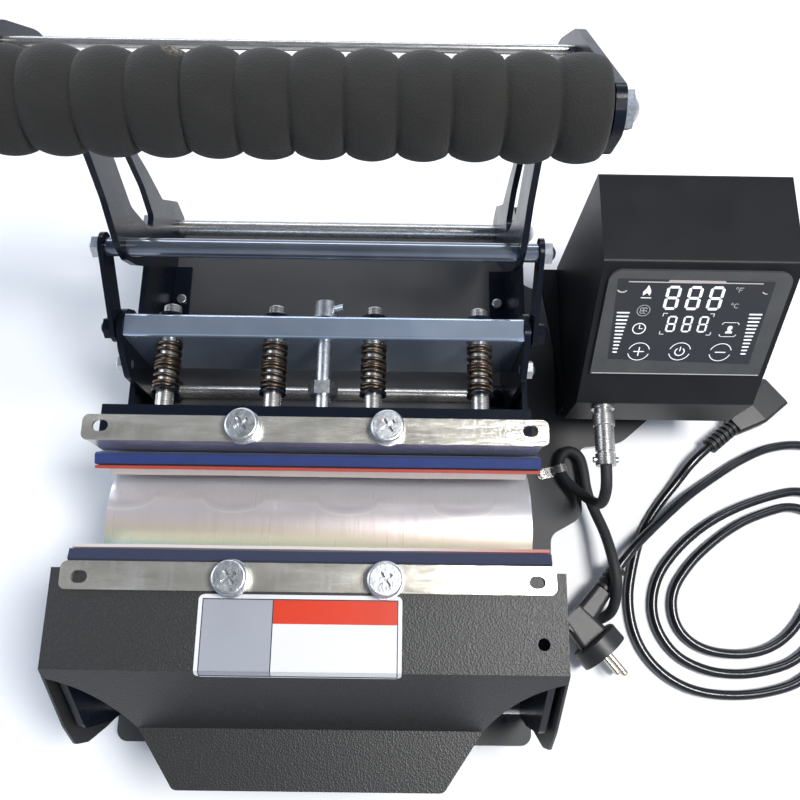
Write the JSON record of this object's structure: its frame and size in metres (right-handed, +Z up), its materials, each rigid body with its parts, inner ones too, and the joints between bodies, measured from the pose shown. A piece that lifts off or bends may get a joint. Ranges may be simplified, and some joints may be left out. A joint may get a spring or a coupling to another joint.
{
  "type": "tumbler heat press",
  "caption": "Bench heat press that wraps a heated pad round a tumbler: lever handle, toggle links, sprung clamp bar, control box and leads",
  "frame": {"origin": "on the table under the middle of the machine's width, 24 mm in front of the tumbler's axis", "axes": "+X along the tumbler to the right, +Y from the front of the machine to its back, +Z up"},
  "size_m": [0.5601, 0.42, 0.4059],
  "materials": {
    "hammered_charcoal": "hammered charcoal powder coat",
    "base_grey": "fine textured grey powder coat",
    "gloss_dark": "smooth dark paint",
    "box_black": "fine textured black powder coat",
    "polished_steel": "polished stainless",
    "zinc": "bright zinc plate",
    "rod_steel": "turned, satin",
    "chrome": "bright chrome",
    "dark_chrome": "black chrome",
    "spring_bronze": "oiled spring wire",
    "liner_steel": "thin bright sheet, brushed lengthwise",
    "sponge_blue": "blue silicone sponge",
    "heater_red": "red silicone rubber",
    "black_rubber": "matte",
    "foam": "matte closed-cell foam",
    "dark_glass": "smoked, gloss",
    "board_green": "circuit board",
    "black_plastic": "moulded",
    "cord_black": "smooth cord sheath",
    "brass_pins": "nickelled"
  },
  "bodies": {
    "machine": {"base_plate": "base_grey", "rubber_feet": "black_rubber", "frame_side_plate_left": "gloss_dark", "frame_side_plate_right": "gloss_dark", "frame_screws": "zinc", "front_cover": "hammered_charcoal", "front_tie_rod": "rod_steel", "tie_rod_nuts": "zinc", "front_clamp_strip": "polished_steel", "front_clamp_screws": "zinc", "cradle_sheet": "rod_steel", "cradle_ribs": "gloss_dark", "pad_sponge": "sponge_blue", "pad_heater": "heater_red", "liner_sheet": "liner_steel", "handle_pivot_rod": "rod_steel", "pivot_rod_nuts": "zinc", "pivot_spacers": "rod_steel", "control_box_shell": "box_black", "control_box_back": "box_black", "display_glass": "dark_glass", "display_board": "board_green", "power_board": "board_green", "inlet_module": "black_plastic", "control_box_stand": "box_black", "stand_screws": "zinc", "heater_socket": "rod_steel", "heater_plug": "rod_steel", "lead_clip": "rod_steel", "heater_lead": "black_rubber", "power_cord_coil": "cord_black", "power_cord_connector_run": "cord_black", "power_cord_plug_run": "cord_black", "cord_connector": "black_plastic", "mains_plug": "black_plastic", "mains_plug_pins": "brass_pins"},
    "switch": {"power_switch": "black_plastic"},
    "handle": {"handle_arm_left": "gloss_dark", "handle_arm_right": "gloss_dark", "grip_rod": "rod_steel", "grip_foam": "foam", "grip_nuts": "zinc", "handle_strut": "rod_steel", "crank_rod": "dark_chrome", "crank_rod_nuts": "zinc"},
    "links": {"toggle_links": "gloss_dark"},
    "press": {"pressure_beam": "chrome", "press_end_plates": "gloss_dark", "press_bolts": "zinc", "lower_rod": "rod_steel", "lower_collars": "gloss_dark", "pressure_springs": "spring_bronze"},
    "clamp_bar": {"moving_bar": "gloss_dark", "guide_rods": "rod_steel", "spring_clips": "gloss_dark", "rear_clamp_strip": "polished_steel", "rear_clamp_screws": "zinc"},
    "adjuster": {"adjusting_bolt": "zinc"},
    "adjuster_nut": {"adjusting_nut": "zinc"}
  },
  "joints": [
    {"name": "handle_swing", "type": "hinge", "parent": "machine", "child": "handle", "pos_m": [0, 0.262, 0.06], "axis": [1, 0, 0], "range_deg": [0, 35]},
    {"name": "press_slide", "type": "slide", "parent": "machine", "child": "press", "axis": [0, -1, 0], "range_m": [0, 0.058], "deforming": ["pad_sponge", "pad_heater", "liner_sheet"]},
    {"name": "link_swing", "type": "hinge", "parent": "handle", "child": "links", "pos_m": [0, 0.19, 0.168], "axis": [1, 0, 0], "range_deg": [-103.5, 0]},
    {"name": "clamp_bar_slide", "type": "slide", "parent": "press", "child": "clamp_bar", "axis": [0, 1, 0], "range_m": [0, 0.008], "stiffness_N_per_m": 4000, "springref_m": -0.002, "deforming": ["pressure_springs"]},
    {"name": "adjuster_turn", "type": "hinge", "parent": "clamp_bar", "child": "adjuster", "pos_m": [0, 0.1, 0.1285], "axis": [0, 1, 0], "continuous": true},
    {"name": "nut_run", "type": "slide", "parent": "clamp_bar", "child": "adjuster_nut", "axis": [0, 1, 0], "range_m": [-0.014, 0.02]},
    {"name": "switch_rock", "type": "hinge", "parent": "machine", "child": "switch", "pos_m": [0.197, 0.231, 0.096], "axis": [1, 0, 0], "range_deg": [-8, 8]}
  ],
  "couplings": [
    {"joint": "press_slide", "follows": "handle_swing", "m_per_rad": 0.094456},
    {"joint": "link_swing", "follows": "handle_swing", "ratio": -2.9314}
  ]
}
